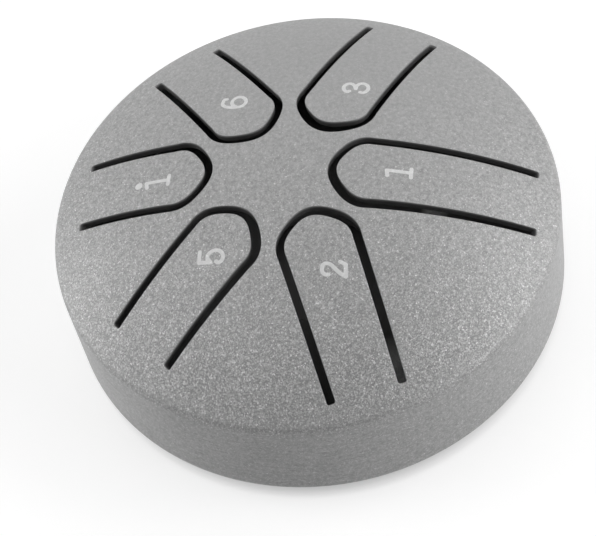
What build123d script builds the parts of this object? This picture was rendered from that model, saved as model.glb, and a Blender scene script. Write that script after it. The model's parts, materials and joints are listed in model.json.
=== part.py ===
from build123d import *
import os
from math import asin, degrees, sqrt

# A small steel tongue drum. Millimetres, +Z up, origin on the table under the drum's axis.
# The player sits on the -Y side, with tongue 1 nearest to them.

# Shell: a drawn steel cup turned upside down, measured to its outer face
overall_diameter = 80.0
wall_height = 18.0  # from the lower edge to the corner where the wall would meet the dome
dome_radius = 76.0
sheet = 1.2
shoulder_bend = 0.3  # inside radius of the bend from dome to wall
rim_bend = 0.8  # inside radius of the bend from wall to lip
lip_flat = 3.4  # flat of the lip that carries the base plate
stand_height = 2.3  # clear height from the table to the lower edge

# Tongues: each is cut free by a U-shaped slot and stays joined to the shell at its root
tongue_width = 10.4  # at the tip
root_narrowing = 0.6  # how much narrower a tongue is at its root
slot_width = 1.3
root_gap = 0.02  # parting line between a tongue and the shell at the bend
low_root_inset = 3.5  # from the wall to the roots of the three low tongues
high_root_inset = 5.1  # from the wall to the roots of the three high tongues
side_turn = 69.0  # degrees from tongue 1 to tongues 2 and 3
back_turn = 129.0  # degrees from tongue 1 to tongues 5 and 6
opposite_turn = 180.0
front_angle = -90.0  # direction of tongue 1, towards the player

# Distance from the axis to the middle of each round tip, as a share of half a slot's outer width
tip_1_share = 1.81
tip_2_share = 2.22
tip_3_share = 2.32
tip_5_share = 2.56
tip_6_share = 2.37
tip_high_1_share = 3.01

# Base plate: a disc on the lip, with a round sound hole
base_thickness = 1.0
base_clearance = 0.2  # from the plate's edge to the bend of the rim
sound_hole_diameter = 20.0
sound_hole_chamfer = 0.3

# Feet: soft pads stuck under the base plate
foot_diameter = 8.0
foot_rounding = 1.0
foot_inset = 2.5  # from the lip to the side of a foot
foot_turn = 120.0  # degrees between feet

# Cuts run past the faces they open
overrun = 1.0

# Levels and radii that follow from the sizes above
wall_radius = overall_diameter / 2
wall_inside = wall_radius - sheet
dome_inside = dome_radius - sheet
shell_bottom = stand_height
lip_top = shell_bottom + sheet
corner_level = shell_bottom + wall_height
dome_centre = corner_level - sqrt(dome_radius**2 - wall_radius**2)
crown_level = dome_centre + dome_radius
inside_corner_level = dome_centre + sqrt(dome_inside**2 - wall_inside**2)
cut_top = crown_level + overrun
cut_bottom = shell_bottom + wall_height / 2  # half way down the wall, clear below the dome
base_radius = wall_inside - rim_bend - base_clearance
lip_radius = wall_inside - rim_bend - lip_flat
foot_ring_radius = lip_radius - foot_inset - foot_diameter / 2
tip_half = tongue_width / 2
root_half = (tongue_width - root_narrowing) / 2
slot_tip_half = tip_half + slot_width
slot_root_half = root_half + slot_width
low_root = wall_radius - low_root_inset
high_root = wall_radius - high_root_inset

# Each tongue's direction, the middle of its tip and its root, both measured from the axis
tongues = {
    "tongue_1": (front_angle, slot_tip_half * tip_1_share, low_root),
    "tongue_2": (front_angle - side_turn, slot_tip_half * tip_2_share, low_root),
    "tongue_3": (front_angle + side_turn, slot_tip_half * tip_3_share, low_root),
    "tongue_5": (front_angle - back_turn, slot_tip_half * tip_5_share, high_root),
    "tongue_6": (front_angle + back_turn, slot_tip_half * tip_6_share, high_root),
    "tongue_high_1": (front_angle + opposite_turn, slot_tip_half * tip_high_1_share, high_root),
}

# One foot towards the player and two behind
feet = {
    "foot_front": front_angle,
    "foot_rear_right": front_angle + foot_turn,
    "foot_rear_left": front_angle - foot_turn,
}


def dome_arc(radius, reach):
    """Arc of the dome's half section, from the given reach off the axis up to the axis."""
    rise = degrees(asin(reach / radius))
    return CenterArc((0, dome_centre), radius, 90 - rise, rise)


def tongue_plan(angle, level, tip_centre, root, wide, narrow):
    """Plan outline of a tongue or of its opening: a round tip and sides that close in a little."""
    with BuildSketch(Plane.XY.offset(level).rotated((0, 0, angle))) as plan:
        with BuildLine():
            tip = CenterArc((tip_centre, 0), wide, 90, 180)
            Polyline(tip @ 1, (root, -narrow), (root, narrow), tip @ 0)
        make_face()
    return plan.sketch


os.makedirs("parts", exist_ok=True)

# Shell: the bent sheet's half section turned about the axis, then opened for each tongue
with BuildPart() as shell:
    with BuildSketch(Plane.XZ) as section:
        with BuildLine():
            outer = dome_arc(dome_radius, wall_radius)
            inner = dome_arc(dome_inside, wall_inside)
            Polyline(
                outer @ 0,
                (wall_radius, shell_bottom),
                (lip_radius, shell_bottom),
                (lip_radius, lip_top),
                (wall_inside, lip_top),
                inner @ 0,
            )
            Line(inner @ 1, outer @ 1)
        make_face()
        bends = (
            (wall_radius, corner_level, shoulder_bend + sheet),
            (wall_inside, inside_corner_level, shoulder_bend),
            (wall_radius, shell_bottom, rim_bend + sheet),
            (wall_inside, lip_top, rim_bend),
        )
        for reach, level, radius in bends:
            fillet(section.vertices().sort_by_distance((reach, level))[0], radius)
    revolve(axis=Axis.Z)
    for angle, tip_centre, root in tongues.values():
        opening = tongue_plan(angle, cut_top, tip_centre, root, slot_tip_half, slot_root_half)
        extrude(opening, amount=cut_bottom - cut_top, mode=Mode.SUBTRACT)

shell.part.label = "shell"
export_step(shell.part, "parts/shell.step")

# Tongues: what the slots leave of the domed sheet, each parted from the shell at its root
for name, (angle, tip_centre, root) in tongues.items():
    with BuildPart() as tongue:
        plan = tongue_plan(angle, cut_top, tip_centre, root - root_gap, tip_half, root_half)
        extrude(plan, amount=cut_bottom - cut_top)
        with BuildSketch(Plane.XZ):
            with BuildLine():
                outer = dome_arc(dome_radius, wall_radius)
                inner = dome_arc(dome_inside, wall_inside)
                Line(outer @ 0, inner @ 0)
                Line(inner @ 1, outer @ 1)
            make_face()
        revolve(axis=Axis.Z, mode=Mode.INTERSECT)
    tongue.part.label = name
    export_step(tongue.part, f"parts/{name}.step")

# Base plate: a flat disc whose sound hole has broken edges
with BuildPart() as base_plate:
    with BuildSketch(Plane.XY.offset(lip_top)):
        Circle(base_radius)
        Circle(sound_hole_diameter / 2, mode=Mode.SUBTRACT)
    extrude(amount=base_thickness)
    hole_edges = base_plate.edges().filter_by(GeomType.CIRCLE).group_by(SortBy.RADIUS)[0]
    chamfer(hole_edges, sound_hole_chamfer)

base_plate.part.label = "base_plate"
export_step(base_plate.part, "parts/base_plate.step")

# Feet: round pads from the plate down to the table, with a rounded lower edge
for name, angle in feet.items():
    with BuildPart() as foot:
        with BuildSketch(Plane.XY.rotated((0, 0, angle))):
            with Locations((foot_ring_radius, 0)):
                Circle(foot_diameter / 2)
        extrude(amount=lip_top)
        fillet(foot.edges().group_by(Axis.Z)[0], foot_rounding)
    foot.part.label = name
    export_step(foot.part, f"parts/{name}.step")
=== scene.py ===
import json
from collections import namedtuple
from math import asin, cos, hypot, pi, radians, sin, sqrt

import bmesh
import bpy
from mathutils import Matrix, Vector


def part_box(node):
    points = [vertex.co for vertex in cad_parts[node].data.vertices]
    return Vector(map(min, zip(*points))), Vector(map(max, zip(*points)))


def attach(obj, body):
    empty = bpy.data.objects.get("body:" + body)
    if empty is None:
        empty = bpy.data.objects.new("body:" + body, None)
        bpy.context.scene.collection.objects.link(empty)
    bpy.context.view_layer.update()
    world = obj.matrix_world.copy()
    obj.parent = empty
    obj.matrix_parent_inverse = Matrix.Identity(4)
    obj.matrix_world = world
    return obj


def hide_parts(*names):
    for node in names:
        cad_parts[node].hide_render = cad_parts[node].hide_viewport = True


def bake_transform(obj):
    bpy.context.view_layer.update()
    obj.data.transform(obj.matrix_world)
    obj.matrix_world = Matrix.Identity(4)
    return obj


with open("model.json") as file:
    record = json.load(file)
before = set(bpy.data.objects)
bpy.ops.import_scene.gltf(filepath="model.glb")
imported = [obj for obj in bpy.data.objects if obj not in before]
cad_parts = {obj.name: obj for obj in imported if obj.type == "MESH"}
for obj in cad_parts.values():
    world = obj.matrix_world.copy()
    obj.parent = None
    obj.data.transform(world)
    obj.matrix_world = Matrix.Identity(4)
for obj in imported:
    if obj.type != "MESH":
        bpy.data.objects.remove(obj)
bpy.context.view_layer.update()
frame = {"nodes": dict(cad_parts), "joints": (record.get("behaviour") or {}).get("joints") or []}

# A small steel tongue drum on a pale floor. Metres, +Z up, tongue 1 towards -Y.

Bend = namedtuple("Bend", "reach level dome_turn")
Strays = namedtuple("Strays", "tip_aside left_out right_out widening widest_at")
Tongue = namedtuple("Tongue", "out tip root strays")
Numeral = namedtuple("Numeral", "strokes middle dots")
Finish = namedtuple("Finish", "greys roughness grains lean patches")
Surface = namedtuple("Surface", "material tree place facing shader")
Lamp = namedtuple("Lamp", "turn elevation watts")

# Sheet of the shell
sheet = 0.0012
wall_radius = 0.04
dome_radius = 0.076
shoulder_bend = 0.0003  # inside radius of the bend from dome to wall
rim_bend = 0.0008  # inside radius of the bend from wall to lip
lip_flat = 0.0034  # flat of the lip that carries the base plate
shell_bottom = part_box("shell")[0].z
crown_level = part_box("shell")[1].z

# Slots and the tongues between them
tongue_width = 0.0104  # at the tip
root_narrowing = 0.0006  # how much narrower a tongue is at its root
slot_width = 0.0013
slot_corner = 0.0004  # how far the corners of a slot's ends are rounded
tip_flatness = 0.00013  # how far a tip strays from a half circle, out and in
tip_waves = 5  # how often it would do so in a full turn
edge_break = 0.0001  # radius of a slot's broken upper edge
end_lean = 0.0007  # how far a slot's ends lean outwards over the sheet's thickness
cut_margin = 0.002  # how far cuts run past the sheet
parting_inset = 0.0009  # from a tongue's root to its parting line

# How each slot strays from its plain shape: its tip to the left, its left and right leg outwards at the root,
# how much wider it is round the tip, and at which angle round the tip, in degrees
slot_strays = {
    "tongue_1": Strays(0.0, 0.00005, -0.0003, 0.00035, 245),
    "tongue_2": Strays(-0.00015, -0.0002, -0.00005, 0.0002, 135),
    "tongue_3": Strays(0.00005, 0.0002, 0.0002, 0.00075, 190),
    "tongue_5": Strays(0.0, 0.0003, -0.0001, 0.0003, 125),
    "tongue_6": Strays(0.0002, 0.00015, 0.0001, 0.0003, 170),
    "tongue_high_1": Strays(-0.0001, -0.0002, 0.00065, 0.00025, 260),
}

# Base plate and feet
sound_hole_radius = 0.01
sound_hole_chamfer = 0.0003
plate_edge_break = 0.0001
foot_rounding = 0.001
foot_top_break = 0.0002

# Numerals
numeral_height = 0.0042
stroke_share = 0.15  # width of a stroke
dot_share = 0.15  # radius of a dot
numeral_proud = 0.00002  # how far the print stands above the dome

# Finishes: greys and roughness at both ends of their ranges, grains per metre and how far they lean, and
# patches of haze per metre
silver_finish = Finish(greys=(0.29, 0.81), roughness=(0.46, 0.54), grains=6300.0, lean=0.15, patches=70.0)
bare_finish = Finish(greys=(0.05, 1.0), roughness=(0.5, 0.65), grains=5000.0, lean=0.2, patches=900.0)
print_finish = Finish(greys=(0.68, 0.95), roughness=(0.46, 0.56), grains=3400.0, lean=0.12, patches=600.0)
rubber_finish = Finish(greys=(0.02, 0.045), roughness=(0.55, 0.75), grains=5000.0, lean=0.15, patches=400.0)
silver_metallic = 0.15
bare_specular = 0.25
print_grain = 0.5  # strength of the grain that shows through the print
full_grain = 1.0

# Grains of any finish: a few are much paler than the rest, and some are larger
fleck_power = 3.0  # how rare pale grains are
bright_share = 0.02  # share of the grains that shine most
bright_lift = 1.0  # how much paler these are
larger_grain_share = 0.72  # how closely the larger grains lie, beside the others
noise_range = (0.3, 0.7)  # what soft noise seldom leaves

# The silver's grain is finest about one spot and coarsens away from it, and the wall's is weaker
finest_spot = (0.03, -0.004, 0.0265)
finest_reach = 0.009
coarsest_reach = 0.0608
finest_grain = 0.15
wall_grain = 0.45
fade_below = 0.0022  # the wall's finish changes to the dome's from here below the dome's edge
fade_above = 0.0012  # to here above it
mottle_patches = 1500.0
mottle_depth = 0.13
wall_mottle = 0.8

# Fine lines round the wall: how close they lie in x, y and z, how deep they are, and where they show most
line_scale = (200, 200, 2600)
line_depth = 0.08
lined_side = (cos(radians(170)), sin(radians(170)), 0.0)
lined_from = 0.024  # out towards that side, where they begin to show more
lined_to = 0.038
least_lined = 0.4
upright_tilts = (0.4, 0.9)  # the upward part of a face's direction, over which they fade

# Bare steel, with painted light and shade: a painted light at the slots' top edges, painted shade on the cut
# faces, painted light on the chamber wall and painted shade on the base plate
edge_fade_start = 0.00005  # depth below the dome where the painted light at a slot's edge begins to fade
edge_fade_end = 0.0005  # and where it is gone
# Tone of the painted light at the slots' top edges
edge_light_tone = 0.25
# Near-black painted shade on the slots' cut faces
cut_shade_tone = 0.025
cut_levels = (0.0195, 0.021)  # painted shade on the cuts above these, and painted light on the chamber wall below
# Tone of the painted light on the chamber wall low inside the drum
chamber_light_tone = 0.6
# Tone of the painted shade on the base plate's upper side
plate_shade_tone = 0.13
plate_levels = (0.006, 0.012)  # the base plate's painted shade changes to the chamber's painted light between these
patch_tone = 0.04

# Painted pools of light on the base plate's upper side, standing for light that falls through the slots:
# where, how far, and the share of that which is palest
painted_light_spots = [((-0.0215, -0.0156, 0.0045), 0.009), ((0.0115, -0.0186, 0.0045), 0.0024)]
painted_light_core_share = 1 / 3

# Camera, from the photograph's outline and slots
view_turn = radians(-73.017)
view_elevation = radians(54.771)
view_roll = radians(-13.544)
view_distance = 0.32503
aim_right = 0.001776
aim_up = 0.005581
aim_level = 0.0143
focal_pixels = 2042.8
picture_width = 596  # in pixels
sensor_width = 36.0
near_limit = view_distance / 100

# Lamps: their turn from the camera's side to its right and their elevation, in degrees, and their watts
lamp_distance = 0.6
lamp_size = 0.45
lamps = {
    "right_box": Lamp(90, 30, 1.39),
    "near_right_box": Lamp(60, 25, 1.33),
    "left_box": Lamp(-110, 15, 1.75),
    "high_left_box": Lamp(-90, 60, 0.59),
}

# Floor and sky
floor_radius = 4.0
painted_shadow_floor_greys = (0.3, 0.5)  # painted shadow under the drum, and the plain floor around it
floor_glow = 0.65
sky_low = 0.08
sky_far = 0.94  # root of the strength opposite the camera
sky_levels = (0.1, 0.2)  # heights over which the low sky changes to the high one

# Fineness of the meshes
turn_steps = 288
foot_turn_steps = 96
floor_steps = 96
dome_steps = 46
bend_steps = 6
rim_steps = 8
tip_steps = 40
leg_steps = 40
corner_steps = 5
break_steps = 3
stroke_round_steps = 4
stroke_path_steps = 8
ball_turn_steps = 24
ball_rise_steps = 16
numeral_voxel = 0.00005
smoothing_rounds = 2
merge_distance = 1e-6
crisp_angle = radians(38)  # corners sharper than this stay crisp
large_face_weight = 80

# Places of the two steel finishes in a piece's list, and the slopes that tell their faces apart
silver_face = 0
bare_face = 1
bare_slope = 0.8  # a slot's faces that face up or down less than this are bare
underside_slope = -0.5  # the base plate's faces that face down more than this are silver

# Radii and levels that follow
wall_inside = wall_radius - sheet
dome_inside = dome_radius - sheet
dome_centre = crown_level - dome_radius
lip_top = shell_bottom + sheet
lip_radius = wall_inside - rim_bend - lip_flat
tip_half = tongue_width / 2
root_half = (tongue_width - root_narrowing) / 2
stroke_radius = numeral_height * stroke_share / 2
dot_radius = numeral_height * dot_share


# Objects and meshes

def linked(name, data):
    """A new object in the scene."""
    thing = bpy.data.objects.new(name, data)
    bpy.context.scene.collection.objects.link(thing)
    return thing


def applied(thing):
    """A mesh of the object with its modifiers, which removes the object."""
    graph = bpy.context.evaluated_depsgraph_get()
    mesh = bpy.data.meshes.new_from_object(thing.evaluated_get(graph))
    bpy.data.objects.remove(thing)
    return mesh


def dress(mesh, materials):
    """Gives a bare mesh its materials; faces keep their places in the list."""
    if not mesh.materials:
        for material in materials:
            mesh.materials.append(material)


def new_piece(name, mesh, materials, body=None, node=None):
    """An object at the origin that rides on a body, with smooth faces and crisp corners."""
    piece = linked(name, mesh)
    dress(mesh, materials)
    mesh.shade_smooth()
    mesh.set_sharp_from_angle(angle=crisp_angle)
    if node:
        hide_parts(node)
    if body:
        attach(piece, body)
    return piece


def even_normals(piece):
    """Large faces keep their own direction beside small ones."""
    weighted = piece.modifiers.new("even_normals", "WEIGHTED_NORMAL")
    weighted.keep_sharp = True
    weighted.weight = large_face_weight


def mesh_from(shape, name):
    """The bmesh as a mesh, which frees the bmesh."""
    mesh = bpy.data.meshes.new(name)
    shape.to_mesh(mesh)
    shape.free()
    return mesh


def joined(meshes, name):
    """Several meshes as one."""
    shape = bmesh.new()
    for mesh in meshes:
        shape.from_mesh(mesh)
    return mesh_from(shape, name)


def closed_line(shape, points):
    """A closed loop of edges through points."""
    verts = [shape.verts.new(point) for point in points]
    return [shape.edges.new(pair) for pair in zip(verts, verts[1:] + verts[:1])]


def run_to(shape, start, reach, level):
    """A straight stretch of a section, from its last vertex to a new one."""
    end = shape.verts.new((reach, 0, level))
    shape.edges.new((start, end))
    return end


def swing(shape, start, reach, level, turn, steps):
    """A round stretch of a section about a centre, from its last vertex."""
    made = bmesh.ops.spin(
        shape, geom=[start], cent=(reach, 0, level), axis=(0, 1, 0), dvec=(0, 0, 0), angle=turn, steps=steps
    )
    return next(part for part in made["geom_last"] if isinstance(part, bmesh.types.BMVert))


def turned(shape, steps):
    """Turns a section about the drum's axis into a closed skin."""
    bmesh.ops.spin(
        shape, geom=shape.verts[:] + shape.edges[:], cent=(0, 0, 0), axis=(0, 0, 1), dvec=(0, 0, 0),
        angle=2 * pi, steps=steps, use_merge=True,
    )
    bmesh.ops.remove_doubles(shape, verts=shape.verts[:], dist=merge_distance)
    bmesh.ops.recalc_face_normals(shape, faces=shape.faces[:])


# Shell and tongues

def bend_centre(radius, bend, wall):
    """Centre of the bend between a dome face and a wall face, and the dome's turn up to it."""
    reach = wall - bend
    level = dome_centre + sqrt((radius - bend) ** 2 - reach**2)
    return Bend(reach, level, asin(reach / (radius - bend)))


outer_bend = bend_centre(dome_radius, shoulder_bend + sheet, wall_radius)
inner_bend = bend_centre(dome_inside, shoulder_bend, wall_inside)
cap_reach = dome_radius * sin(outer_bend.dome_turn)
cap_level = dome_centre + dome_radius * cos(outer_bend.dome_turn)


def rise(x, y):
    """How far the dome's outer face stands above its own edge."""
    reach = min(hypot(x, y), cap_reach)
    return dome_centre + sqrt(dome_radius**2 - reach**2) - cap_level


def shift_by_rise(shape, sign):
    """Presses the dome flat or raises it again; the wall stays where it is."""
    for vert in shape.verts:
        vert.co.z += sign * rise(vert.co.x, vert.co.y)


def raised(mesh):
    """The flat sheet's mesh raised to its dome."""
    shape = bmesh.new()
    shape.from_mesh(mesh)
    shift_by_rise(shape, 1)
    shape.to_mesh(mesh)
    shape.free()
    return mesh


def shell_blank():
    """The unslotted shell with its dome pressed flat, bare inside."""
    shape = bmesh.new()
    last = shape.verts.new((0, 0, crown_level))
    outer_rim = rim_bend + sheet
    last = swing(shape, last, 0, dome_centre, outer_bend.dome_turn, dome_steps)
    bend_turn = pi / 2 - outer_bend.dome_turn
    last = swing(shape, last, outer_bend.reach, outer_bend.level, bend_turn, bend_steps)
    last = run_to(shape, last, wall_radius, shell_bottom + outer_rim)
    last = swing(shape, last, wall_radius - outer_rim, shell_bottom + outer_rim, pi / 2, rim_steps)
    last = run_to(shape, last, lip_radius, shell_bottom)
    last = run_to(shape, last, lip_radius, lip_top)
    last = run_to(shape, last, wall_inside - rim_bend, lip_top)
    last = swing(shape, last, wall_inside - rim_bend, lip_top + rim_bend, -pi / 2, rim_steps)
    last = run_to(shape, last, wall_inside, inner_bend.level)
    bend_turn = inner_bend.dome_turn - pi / 2
    last = swing(shape, last, inner_bend.reach, inner_bend.level, bend_turn, bend_steps)
    swing(shape, last, 0, dome_centre, -inner_bend.dome_turn, dome_steps)
    turned(shape, turn_steps)
    shift_by_rise(shape, -1)
    for face in shape.faces:
        middle = face.calc_center_median()
        within = middle.xy.length < wall_inside and lip_top < middle.z < cap_level - sheet / 2
        face.material_index = bare_face if within else silver_face
    return mesh_from(shape, "shell_blank")


def find_tongues():
    """Each tongue's direction, the middle of its tip and its root, from the frame, and its slot's strays."""
    found = {}
    for joint in frame["joints"]:
        name = joint["child"]
        hinge = Vector(joint["pos_m"])
        out = Vector((hinge.x, hinge.y, 0))
        root = out.length
        out.normalize()
        tip = min(vert.co.dot(out) for vert in frame["nodes"][name].data.vertices)
        found[name] = Tongue(out, tip + tip_half, root, slot_strays[name])
    return found


def tip_line(tongue, apart):
    """Points round a tongue's tip, some way outside its edge: proud at its end and sides, flatter between."""
    strays = tongue.strays
    widened = strays.widening * (apart / slot_width - 0.5)
    points = []
    for step in range(tip_steps + 1):
        angle = pi / 2 + pi * step / tip_steps
        reach = tip_half + apart - tip_flatness * cos(tip_waves * angle)
        reach += widened * max(0.0, cos(angle - radians(strays.widest_at))) ** 2
        points.append((tongue.tip + reach * cos(angle), strays.tip_aside + reach * sin(angle)))
    return points


def root_sides(tongue, apart):
    """Where a line some way outside a tongue's edge ends at the root, to the left and to the right."""
    return root_half + apart + tongue.strays.left_out, -root_half - apart - tongue.strays.right_out


def between(start, end):
    """Points along a straight side, so that it can follow the dome."""
    shares = [step / leg_steps for step in range(1, leg_steps)]
    return [tuple(Vector(start).lerp(Vector(end), share)) for share in shares]


def rounded(corner, before, after):
    """Points of a rounded corner of a slot's end."""
    corner, before, after = Vector(corner), Vector(before), Vector(after)
    entry = corner + (before - corner).normalized() * slot_corner
    leave = corner + (after - corner).normalized() * slot_corner
    shares = [step / corner_steps for step in range(corner_steps + 1)]
    return [tuple((1 - s) ** 2 * entry + 2 * s * (1 - s) * corner + s**2 * leave) for s in shares]


def slot_line(tongue, level, ease):
    """The U-shaped slot in plan at a level, along +X, with its edges moved out by ease."""
    end = tongue.root + ease - end_lean * (cap_level - level) / sheet
    outer = tip_line(tongue, slot_width + ease)
    inner = tip_line(tongue, -ease)[::-1]
    outer_left, outer_right = root_sides(tongue, slot_width + ease)
    inner_left, inner_right = root_sides(tongue, -ease)
    right = rounded((end, outer_right), outer[-1], (end, inner_right))
    right += rounded((end, inner_right), (end, outer_right), inner[0])
    left = rounded((end, inner_left), inner[-1], (end, outer_left))
    left += rounded((end, outer_left), (end, inner_left), outer[0])
    legs = [between(outer[-1], right[0]), between(right[-1], inner[0])]
    legs += [between(inner[-1], left[0]), between(left[-1], outer[0])]
    return outer + legs[0] + right + legs[1] + inner + legs[2] + left + legs[3]


def block(tongue, lines):
    """A closed block from lines in plan at rising levels, turned from +X to the tongue's direction."""
    shape = bmesh.new()
    loops = [closed_line(shape, [(x, y, level) for x, y in points]) for level, points in lines]
    for below, above in zip(loops, loops[1:]):
        bmesh.ops.bridge_loops(shape, edges=below + above)
    for end in (loops[0], loops[-1]):
        bmesh.ops.contextual_create(shape, geom=end)
    turn = Matrix.Rotation(tongue.out.to_2d().angle_signed(Vector((1, 0))), 4, "Z")
    bmesh.ops.transform(shape, matrix=turn, verts=shape.verts[:])
    bmesh.ops.recalc_face_normals(shape, faces=shape.faces[:])
    return shape


def slot_cutter(tongue):
    """What a slot takes out of the flat sheet, flared at the top and with ends that lean outwards."""
    levels = [(cap_level - sheet - cut_margin, 0.0)]
    for step in range(break_steps + 1):
        lean = pi / 2 * step / break_steps
        levels.append((cap_level - edge_break * (1 - sin(lean)), edge_break * (1 - cos(lean))))
    levels.append((cap_level + cut_margin, edge_break))
    shape = block(tongue, [(level, slot_line(tongue, level, ease)) for level, ease in levels])
    for face in shape.faces:
        face.material_index = bare_face if abs(face.normal.z) < bare_slope else silver_face
    return mesh_from(shape, "slot_cutter")


def parting_block(tongue):
    """A block that takes a tongue, up to the middle of its slot and its parting line."""
    near = tongue.root - parting_inset
    left, right = root_sides(tongue, slot_width / 2)
    points = tip_line(tongue, slot_width / 2) + [(near, right), (near, left)]
    levels = (cap_level - sheet - cut_margin, cap_level + cut_margin)
    shape = block(tongue, [(level, points) for level in levels])
    for face in shape.faces:
        face.material_index = bare_face
    return mesh_from(shape, "parting_block")


def cut(mesh, cutter, operation, materials):
    """A mesh after a Boolean with another."""
    for data in (mesh, cutter):
        dress(data, materials)
    work = linked("work", mesh)
    tool = linked("tool", cutter)
    change = work.modifiers.new("cut", "BOOLEAN")
    change.operation = operation
    change.solver = "EXACT"
    change.object = tool
    result = applied(work)
    bpy.data.objects.remove(tool)
    return result


def make_shell_and_tongues(materials):
    """Slots the flat sheet, parts the tongues from it and raises all to the dome."""
    tongues = find_tongues()
    cutters = joined([slot_cutter(tongue) for tongue in tongues.values()], "slot_cutters")
    slotted = cut(shell_blank(), cutters, "DIFFERENCE", materials)
    blocks = {name: parting_block(tongue) for name, tongue in tongues.items()}
    for name, tongue in tongues.items():
        mesh = raised(cut(slotted, blocks[name], "INTERSECT", materials))
        piece = new_piece(name + "_sheet", mesh, materials, node=name)
        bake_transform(piece)
        even_normals(piece)
    mesh = raised(cut(slotted, joined(blocks.values(), "parting_blocks"), "DIFFERENCE", materials))
    piece = new_piece("shell_sheet", mesh, materials, "drum", "shell")
    even_normals(piece)


# Base plate and feet

def make_base_plate(materials):
    """A disc with a sound hole, silver below and bare above and in the hole."""
    low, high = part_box("base_plate")
    edge = high.x
    hole = sound_hole_radius
    corners = [
        (hole, low.z + sound_hole_chamfer),
        (hole + sound_hole_chamfer, low.z),
        (edge - plate_edge_break, low.z),
        (edge, low.z + plate_edge_break),
        (edge, high.z - plate_edge_break),
        (edge - plate_edge_break, high.z),
        (hole + sound_hole_chamfer, high.z),
        (hole, high.z - sound_hole_chamfer),
    ]
    shape = bmesh.new()
    closed_line(shape, [(reach, 0, level) for reach, level in corners])
    turned(shape, turn_steps)
    for face in shape.faces:
        near_hole = face.calc_center_median().xy.length < hole + sound_hole_chamfer
        face.material_index = bare_face if near_hole or face.normal.z > underside_slope else silver_face
    mesh = mesh_from(shape, "base_plate_disc")
    new_piece("base_plate_disc", mesh, materials, "drum", "base_plate")


def make_foot(node, materials):
    """A round pad with a rounded lower edge and a broken upper one."""
    low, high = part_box(node)
    middle = (low + high) / 2
    radius = (high.x - low.x) / 2
    shape = bmesh.new()
    last = shape.verts.new((0, 0, low.z))
    last = run_to(shape, last, radius - foot_rounding, low.z)
    last = swing(shape, last, radius - foot_rounding, low.z + foot_rounding, -pi / 2, rim_steps)
    last = run_to(shape, last, radius, high.z - foot_top_break)
    last = run_to(shape, last, radius - foot_top_break, high.z)
    run_to(shape, last, 0, high.z)
    turned(shape, foot_turn_steps)
    bmesh.ops.translate(shape, vec=(middle.x, middle.y, 0), verts=shape.verts[:])
    new_piece(node + "_pad", mesh_from(shape, node + "_pad"), materials, "drum", node)


# Numerals, as strokes in shares of their height about their middle

one_stroke_shares = [
    [(-0.21, 0.40), (0.02, 0.43)],
    [(0.02, 0.43), (0.02, -0.43)],
    [(-0.19, -0.44), (0.20, -0.44)],
]
two_stroke_shares = [
    [(-0.205, 0.19), (-0.21, 0.30), (-0.12, 0.41), (0.03, 0.43), (0.17, 0.375), (0.20, 0.25), (0.16, 0.125),
     (0.06, 0.01), (-0.12, -0.20), (-0.24, -0.42)],
    [(-0.24, -0.42), (0.21, -0.39)],
    [(0.21, -0.39), (0.295, -0.19)],
]
three_stroke_shares = [
    [(-0.21, 0.225), (-0.265, 0.30), (-0.18, 0.41), (-0.02, 0.45), (0.14, 0.39), (0.22, 0.24), (0.155, 0.10),
     (-0.07, 0.0)],
    [(-0.07, 0.0), (0.13, -0.03), (0.27, -0.20), (0.22, -0.36), (0.02, -0.46), (-0.18, -0.40),
     (-0.275, -0.275), (-0.25, -0.18)],
]
five_stroke_shares = [
    [(0.22, 0.42), (-0.19, 0.42)],
    [(-0.19, 0.42), (-0.21, -0.02)],
    [(-0.21, -0.02), (0.01, 0.12), (0.20, -0.01), (0.24, -0.22), (0.145, -0.40), (-0.02, -0.47),
     (-0.18, -0.42), (-0.23, -0.30), (-0.18, -0.225)],
]
six_stroke_shares = [
    [(0.225, 0.32), (0.225, 0.41), (0.10, 0.45), (-0.05, 0.45), (-0.175, 0.345), (-0.26, 0.145),
     (-0.29, -0.105), (-0.25, -0.33), (-0.125, -0.44), (0.0, -0.46), (0.175, -0.38), (0.28, -0.18),
     (0.21, 0.01), (0.025, 0.09), (-0.15, 0.03), (-0.26, -0.10)],
]
high_one_stroke_shares = [
    [(-0.19, 0.38), (0.04, 0.445)],
    [(0.035, 0.445), (0.01, -0.44)],
    [(-0.19, -0.455), (0.21, -0.455)],
]
high_dot_shares = [(-0.025, 0.74)]

# Each numeral's strokes, the middle of it on the drum in metres and the dots above it
numerals = {
    "tongue_1": Numeral(one_stroke_shares, (0.00035, -0.01582), []),
    "tongue_2": Numeral(two_stroke_shares, (-0.0171, -0.00745), []),
    "tongue_3": Numeral(three_stroke_shares, (0.01745, -0.0077), []),
    "tongue_5": Numeral(five_stroke_shares, (-0.015, 0.01154), []),
    "tongue_6": Numeral(six_stroke_shares, (0.0145, 0.01143), []),
    "tongue_high_1": Numeral(high_one_stroke_shares, (-0.00042, 0.022), high_dot_shares),
}


def stroke_tubes(strokes):
    """Round strokes along smooth paths, as one mesh."""
    curve = bpy.data.curves.new("strokes", "CURVE")
    curve.dimensions = "3D"
    curve.bevel_depth = stroke_radius
    curve.bevel_resolution = stroke_round_steps
    curve.resolution_u = stroke_path_steps
    curve.use_fill_caps = True
    for points in strokes:
        spline = curve.splines.new("BEZIER")
        spline.bezier_points.add(len(points) - 1)
        for knot, (x, y) in zip(spline.bezier_points, points):
            knot.co = (numeral_height * x, numeral_height * y, 0)
            knot.handle_left_type = knot.handle_right_type = "AUTO"
    return applied(linked("strokes", curve))


def one_skin(shape):
    """Shapes that overlap, as a mesh with a single skin."""
    holder = linked("strokes", mesh_from(shape, "strokes"))
    remesh = holder.modifiers.new("one_skin", "REMESH")
    remesh.mode = "VOXEL"
    remesh.voxel_size = numeral_voxel
    return applied(holder)


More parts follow.
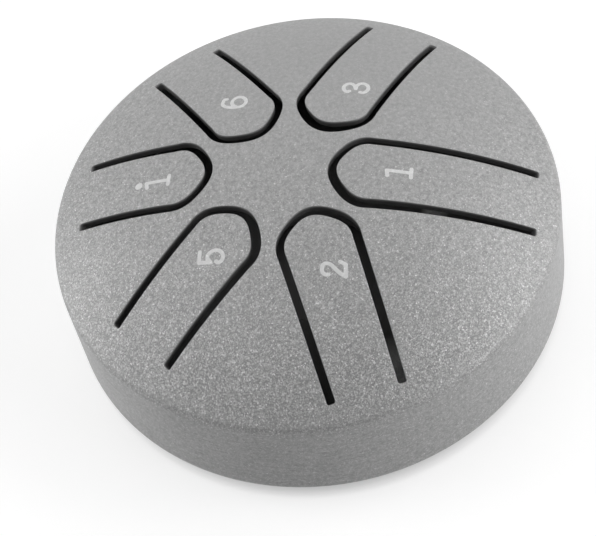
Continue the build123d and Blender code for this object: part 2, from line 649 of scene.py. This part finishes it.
def make_numeral(tongue, material):
    """Strokes with round ends, pressed almost flat and laid over the dome."""
    numeral = numerals[tongue]
    shape = bmesh.new()
    shape.from_mesh(stroke_tubes(numeral.strokes))
    balls = [(end, stroke_radius) for path in numeral.strokes for end in (path[0], path[-1])]
    balls += [(dot, dot_radius) for dot in numeral.dots]
    for (x, y), radius in balls:
        place = Matrix.Translation((numeral_height * x, numeral_height * y, 0))
        bmesh.ops.create_uvsphere(
            shape, u_segments=ball_turn_steps, v_segments=ball_rise_steps, radius=radius, matrix=place
        )
    mesh = one_skin(shape)
    shape = bmesh.new()
    shape.from_mesh(mesh)
    for _ in range(smoothing_rounds):
        bmesh.ops.smooth_vert(
            shape, verts=shape.verts[:], factor=0.5, use_axis_x=True, use_axis_y=True, use_axis_z=True
        )
    bmesh.ops.scale(shape, vec=(1, 1, numeral_proud / stroke_radius), verts=shape.verts[:])
    bmesh.ops.translate(shape, vec=(*numeral.middle, cap_level), verts=shape.verts[:])
    shift_by_rise(shape, 1)
    shape.to_mesh(mesh)
    shape.free()
    new_piece(tongue.replace("tongue", "numeral"), mesh, [material], tongue)


# Nodes

def add(tree, kind, sockets=None, **settings):
    """A new node; a socket takes a value, or the output that feeds it."""
    node = tree.nodes.new("ShaderNode" + kind)
    for key, value in settings.items():
        setattr(node, key, value)
    for key, value in (sockets or {}).items():
        if isinstance(value, bpy.types.NodeSocket):
            tree.links.new(value, node.inputs[key])
        else:
            node.inputs[key].default_value = value
    return node


def maths(tree, operation, *values):
    """The result of a Math node on values or outputs."""
    return add(tree, "Math", dict(enumerate(values)), operation=operation).outputs["Value"]


def vector(tree, operation, *values):
    """A vector from a Vector Math node on vectors."""
    return add(tree, "VectorMath", dict(enumerate(values)), operation=operation).outputs["Vector"]


def measure(tree, operation, *values):
    """A number from a Vector Math node on vectors."""
    return add(tree, "VectorMath", dict(enumerate(values)), operation=operation).outputs["Value"]


def upward(tree, value):
    """The Z of a vector."""
    return add(tree, "SeparateXYZ", {"Vector": value}).outputs["Z"]


def ramp(tree, factor, low, high, to_low, to_high):
    """A value mapped from one range to another, and held at its ends."""
    return add(tree, "MapRange", {
        "Value": factor, "From Min": low, "From Max": high, "To Min": to_low, "To Max": to_high,
    }).outputs["Result"]


def grey(level):
    """A grey as a colour."""
    return (level, level, level, 1.0)


def grey_mix(tree, factor, low, high):
    """A grey between two."""
    node = add(tree, "Mix", {"Factor": factor}, data_type="RGBA")
    for key, level in (("A", low), ("B", high)):
        socket = next(s for s in node.inputs if s.name == key and s.type == "RGBA")
        socket.default_value = grey(level)
    return next(s for s in node.outputs if s.type == "RGBA")


# Effects, as node groups

def new_group(name, inputs, outputs):
    """An empty node group with its sockets, and its input and output nodes."""
    group = bpy.data.node_groups.new(name, "ShaderNodeTree")
    for way, labels in (("INPUT", inputs), ("OUTPUT", outputs)):
        for label in labels:
            kind = "NodeSocketVector" if label in ("Vector", "Normal") else "NodeSocketFloat"
            group.interface.new_socket(label, in_out=way, socket_type=kind)
    return group, group.nodes.new("NodeGroupInput"), group.nodes.new("NodeGroupOutput")


def make_flake_grain():
    """Grains of a blasted finish: each leans its own way, and a few are much paler than the rest."""
    group, source, result = new_group(
        "flake_grain", ["Vector", "Normal", "Grains", "Lean", "Strength"], ["Normal", "Fleck"]
    )
    place, grains, strength = (source.outputs[key] for key in ("Vector", "Grains", "Strength"))
    cells = add(group, "TexVoronoi", {"Vector": place, "Scale": grains}).outputs["Color"]
    wide = maths(group, "MULTIPLY", grains, larger_grain_share)
    larger = add(group, "TexVoronoi", {"Vector": place, "Scale": wide}).outputs["Color"]
    noise = add(group, "TexNoise", {"Vector": place, "Scale": grains, "Detail": 1.0}).outputs["Color"]

    # Two chances from 0 to 1 on each axis make a lean from -1 to 1
    way = vector(group, "SUBTRACT", vector(group, "ADD", cells, noise), (1.0, 1.0, 1.0))
    much = maths(group, "MULTIPLY", source.outputs["Lean"], strength)
    lean = add(group, "VectorMath", {0: way, "Scale": much}, operation="SCALE").outputs["Vector"]
    tilted = vector(group, "NORMALIZE", vector(group, "ADD", source.outputs["Normal"], lean))

    # A power of a chance is seldom high, and its mean is the grey where the grain is weak
    chances = [add(group, "SeparateColor", {"Color": layer}).outputs["Red"] for layer in (cells, larger)]
    pale = maths(group, "ADD", *(maths(group, "POWER", chance, fleck_power) for chance in chances))
    mean = 1 / (fleck_power + 1)
    bright = ramp(group, chances[0], 1 - bright_share, 1.0, -mean, bright_lift - mean)
    apart = maths(group, "MULTIPLY_ADD", pale, 1 / len(chances), bright)
    fleck = maths(group, "MULTIPLY_ADD", apart, strength, mean)
    group.links.new(tilted, result.inputs["Normal"])
    group.links.new(fleck, result.inputs["Fleck"])
    return group


def make_drawn_lines():
    """Fine lines that run round the wall, left by drawing and turning."""
    group, source, result = new_group("drawn_lines", ["Vector"], ["Line"])
    stretch = add(group, "Mapping", {"Vector": source.outputs["Vector"], "Scale": line_scale})
    noise = add(group, "TexNoise", {
        "Vector": stretch.outputs["Vector"], "Scale": 1.0, "Detail": 3.0, "Roughness": 0.6,
    })
    group.links.new(noise.outputs["Fac"], result.inputs["Line"])
    return group


def make_haze():
    """Soft patches where the finish is a little duller or darker."""
    group, source, result = new_group("haze", ["Vector", "Patches"], ["Patch"])
    place, patches = (source.outputs[key] for key in ("Vector", "Patches"))
    noise = add(group, "TexNoise", {"Vector": place, "Scale": patches, "Detail": 4.0, "Roughness": 0.5})
    group.links.new(noise.outputs["Fac"], result.inputs["Patch"])
    return group


# Materials

def new_surface(name):
    """A material with its shader, and the place and direction of the surface."""
    material = bpy.data.materials.new(name)
    material.use_nodes = True
    tree = material.node_tree
    tree.nodes.clear()
    place = add(tree, "TexCoord").outputs["Object"]
    facing = add(tree, "NewGeometry").outputs["Normal"]
    shader = add(tree, "BsdfPrincipled")
    add(tree, "OutputMaterial", {"Surface": shader.outputs["BSDF"]})
    return Surface(material, tree, place, facing, shader)


def lay_grain(surface, groups, finish, strength):
    """Leans the shader's normal by the grain, and gives the grain's flecks."""
    grain = add(surface.tree, "Group", {
        "Vector": surface.place, "Normal": surface.facing, "Grains": finish.grains, "Lean": finish.lean,
        "Strength": strength,
    }, node_tree=groups["grain"])
    surface.tree.links.new(grain.outputs["Normal"], surface.shader.inputs["Normal"])
    return grain.outputs["Fleck"]


def patches_of(surface, groups, patches):
    """Soft patches over the surface."""
    sockets = {"Vector": surface.place, "Patches": patches}
    return add(surface.tree, "Group", sockets, node_tree=groups["haze"]).outputs["Patch"]


def lay_haze(surface, groups, finish):
    """Makes the shader duller in patches, and gives the patches."""
    patch = patches_of(surface, groups, finish.patches)
    roughness = ramp(surface.tree, patch, *noise_range, *finish.roughness)
    surface.tree.links.new(roughness, surface.shader.inputs["Roughness"])
    return patch


def paint(surface, finish, tone):
    """Colours the surface between its two greys."""
    colour = grey_mix(surface.tree, tone, *finish.greys)
    surface.tree.links.new(colour, surface.shader.inputs["Base Color"])


def wall_lines(surface, groups, dome):
    """Fine lines on upright faces below the dome, stronger on one side, as a tone to add."""
    tree = surface.tree
    line = add(tree, "Group", {"Vector": surface.place}, node_tree=groups["lines"]).outputs["Line"]
    streak = ramp(tree, line, *noise_range, -line_depth, line_depth)
    side = measure(tree, "DOT_PRODUCT", surface.place, lined_side)
    lined = ramp(tree, side, lined_from, lined_to, least_lined, 1.0)
    tilt = maths(tree, "ABSOLUTE", upward(tree, surface.facing))
    upright = ramp(tree, tilt, *upright_tilts, lined, 0.0)
    return maths(tree, "MULTIPLY", streak, ramp(tree, dome, 0.0, 1.0, upright, 0.0))


def make_silver(groups):
    """Grainy silver on the dome, finest at one side, and smoother with fine lines round the wall."""
    surface = new_surface("drum_silver")
    tree = surface.tree
    level = upward(tree, surface.place)
    dome = ramp(tree, level, cap_level - fade_below, cap_level + fade_above, 0.0, 1.0)
    square = maths(tree, "POWER", measure(tree, "DISTANCE", surface.place, finest_spot), 2.0)
    coarse = ramp(tree, square, finest_reach**2, coarsest_reach**2, finest_grain, 1.0)
    strength = maths(tree, "MULTIPLY", coarse, ramp(tree, dome, 0.0, 1.0, wall_grain, 1.0))
    fleck = lay_grain(surface, groups, silver_finish, strength)

    # The dome is mottled most half way from fine to coarse, where the product of both is a quarter
    mottle = patches_of(surface, groups, mottle_patches)
    blotch = ramp(tree, mottle, *noise_range, -mottle_depth, mottle_depth)
    fine = maths(tree, "SUBTRACT", 1.0, coarse)
    halfway = maths(tree, "MULTIPLY", fine, maths(tree, "MULTIPLY", coarse, 4.0))
    mottled = ramp(tree, dome, 0.0, 1.0, wall_mottle, halfway)
    patchy = maths(tree, "MULTIPLY_ADD", blotch, mottled, fleck)
    paint(surface, silver_finish, maths(tree, "ADD", wall_lines(surface, groups, dome), patchy))
    lay_haze(surface, groups, silver_finish)
    surface.shader.inputs["Metallic"].default_value = silver_metallic
    return surface.material


def make_bare_steel(groups):
    """Steel toned with painted light and shade: painted light fading down from the slots' top edges, painted
    shade on the cut faces and the base plate, painted light low on the chamber wall, and painted pools of
    light on the plate.
    """
    surface = new_surface("bare_steel")
    tree = surface.tree
    # Painted light at the top of the slots' cut faces, fading away deeper down
    reach = measure(tree, "DISTANCE", surface.place, (0.0, 0.0, dome_centre))
    fading = ramp(tree, reach, dome_radius - edge_fade_end, dome_radius - edge_fade_start, 0.0, edge_light_tone)
    # Painted shade on the cut faces, and below them painted light on the chamber wall and painted shade on
    # the base plate
    level = upward(tree, surface.place)
    chamber = ramp(tree, level, *plate_levels, plate_shade_tone, chamber_light_tone)
    inside = ramp(tree, level, *cut_levels, chamber, cut_shade_tone)
    patch = lay_haze(surface, groups, bare_finish)
    tone = maths(tree, "MULTIPLY_ADD", patch, patch_tone, maths(tree, "ADD", fading, inside))
    # Painted pools of light on the base plate, standing for light through the slots
    for spot, size in painted_light_spots:
        apart = measure(tree, "DISTANCE", surface.place, spot)
        tone = maths(tree, "ADD", tone, ramp(tree, apart, size * painted_light_core_share, size, 1.0, 0.0))
    paint(surface, bare_finish, tone)
    lay_grain(surface, groups, bare_finish, full_grain)
    surface.shader.inputs["Specular IOR Level"].default_value = bare_specular
    return surface.material


def make_print(groups):
    """Pale printed numerals that take on the grain below them."""
    surface = new_surface("numeral_print")
    paint(surface, print_finish, lay_grain(surface, groups, print_finish, print_grain))
    lay_haze(surface, groups, print_finish)
    return surface.material


def make_rubber(groups):
    """Soft black silicone with a faint bloom."""
    surface = new_surface("black_silicone")
    paint(surface, rubber_finish, lay_haze(surface, groups, rubber_finish))
    lay_grain(surface, groups, rubber_finish, full_grain)
    return surface.material


# Studio: floor, light and camera

def studio_direction(turn, elevation):
    """A direction from the drum: turned from the camera's side to its right, and raised."""
    angle = view_turn + radians(turn)
    height = radians(elevation)
    return Vector((sin(angle) * cos(height), -cos(angle) * cos(height), sin(height)))


def make_camera():
    """The camera at the photograph's angle."""
    lens = bpy.data.cameras.new("camera")
    lens.sensor_width = sensor_width
    lens.lens = sensor_width * focal_pixels / picture_width
    lens.clip_start = near_limit
    camera = linked("camera", lens)
    facing = (
        Matrix.Rotation(view_turn, 4, "Z") @ Matrix.Rotation(pi / 2 - view_elevation, 4, "X")
        @ Matrix.Rotation(view_roll, 4, "Z")
    )
    offset = facing @ Vector((-aim_right, -aim_up, view_distance))
    camera.matrix_world = Matrix.Translation(Vector((0, 0, aim_level)) + offset) @ facing
    bpy.context.scene.camera = camera


def make_softbox(name, lamp):
    """A round soft lamp that faces the drum."""
    light = bpy.data.lights.new(name, "AREA")
    light.shape = "DISK"
    light.size = lamp_size
    light.energy = lamp.watts
    back = studio_direction(lamp.turn, lamp.elevation)
    softbox = linked(name, light)
    softbox.location = Vector((0, 0, aim_level)) + back * lamp_distance
    softbox.rotation_mode = "QUATERNION"
    softbox.rotation_quaternion = back.to_track_quat("Z", "Y")


def make_floor():
    """A pale floor that glows to the eye and in reflections, with a painted shadow under the drum, where it
    is darker and has no glow.
    """
    shape = bmesh.new()
    bmesh.ops.create_circle(shape, cap_ends=True, radius=floor_radius, segments=floor_steps)
    floor = linked("floor", mesh_from(shape, "floor"))
    material = bpy.data.materials.new("pale_floor")
    material.use_nodes = True
    tree = material.node_tree
    tree.nodes.clear()
    path = add(tree, "LightPath")
    seen = maths(tree, "MAXIMUM", path.outputs["Is Camera Ray"], path.outputs["Is Glossy Ray"])
    shown = maths(tree, "MAXIMUM", seen, path.outputs["Is Transmission Ray"])
    reach = measure(tree, "LENGTH", add(tree, "TexCoord").outputs["Object"])
    # Painted shadow under the drum: the floor is darker there and does not glow
    beyond_painted_shadow = ramp(tree, reach, lip_radius, wall_radius, 0.0, 1.0)
    matt = add(tree, "BsdfDiffuse", {"Color": grey_mix(tree, beyond_painted_shadow, *painted_shadow_floor_greys)})
    strength = maths(tree, "MULTIPLY", beyond_painted_shadow, floor_glow)
    glow = add(tree, "Emission", {"Color": grey(1.0), "Strength": strength})
    lifted = add(tree, "AddShader", {0: matt.outputs["BSDF"], 1: glow.outputs["Emission"]})
    mix = add(tree, "MixShader", {0: shown, 1: matt.outputs["BSDF"], 2: lifted.outputs["Shader"]})
    add(tree, "OutputMaterial", {"Surface": mix.outputs["Shader"]})
    floor.data.materials.append(material)


def make_world():
    """A grey sky, brightest opposite the camera and dim near the horizon."""
    world = bpy.data.worlds.new("studio")
    bpy.context.scene.world = world
    world.use_nodes = True
    tree = world.node_tree
    tree.nodes.clear()
    way = add(tree, "TexCoord").outputs["Generated"]
    away = measure(tree, "DOT_PRODUCT", way, studio_direction(180, 0))
    far = maths(tree, "POWER", ramp(tree, away, -1.0, 1.0, 0.0, sky_far), 2.0)
    strength = ramp(tree, upward(tree, way), *sky_levels, sky_low, far)
    sky = add(tree, "Background", {"Color": grey(1.0), "Strength": strength})
    add(tree, "OutputWorld", {"Surface": sky.outputs["Background"]})


groups = {"grain": make_flake_grain(), "lines": make_drawn_lines(), "haze": make_haze()}
silver = make_silver(groups)
bare_steel = make_bare_steel(groups)
numeral_print = make_print(groups)
rubber = make_rubber(groups)

make_shell_and_tongues([silver, bare_steel])
make_base_plate([silver, bare_steel])
for foot in ("foot_front", "foot_rear_left", "foot_rear_right"):
    make_foot(foot, [rubber])
for tongue in numerals:
    make_numeral(tongue, numeral_print)

make_floor()
make_world()
for name, lamp in lamps.items():
    make_softbox(name, lamp)
make_camera()
bpy.context.scene.view_settings.view_transform = "Standard"
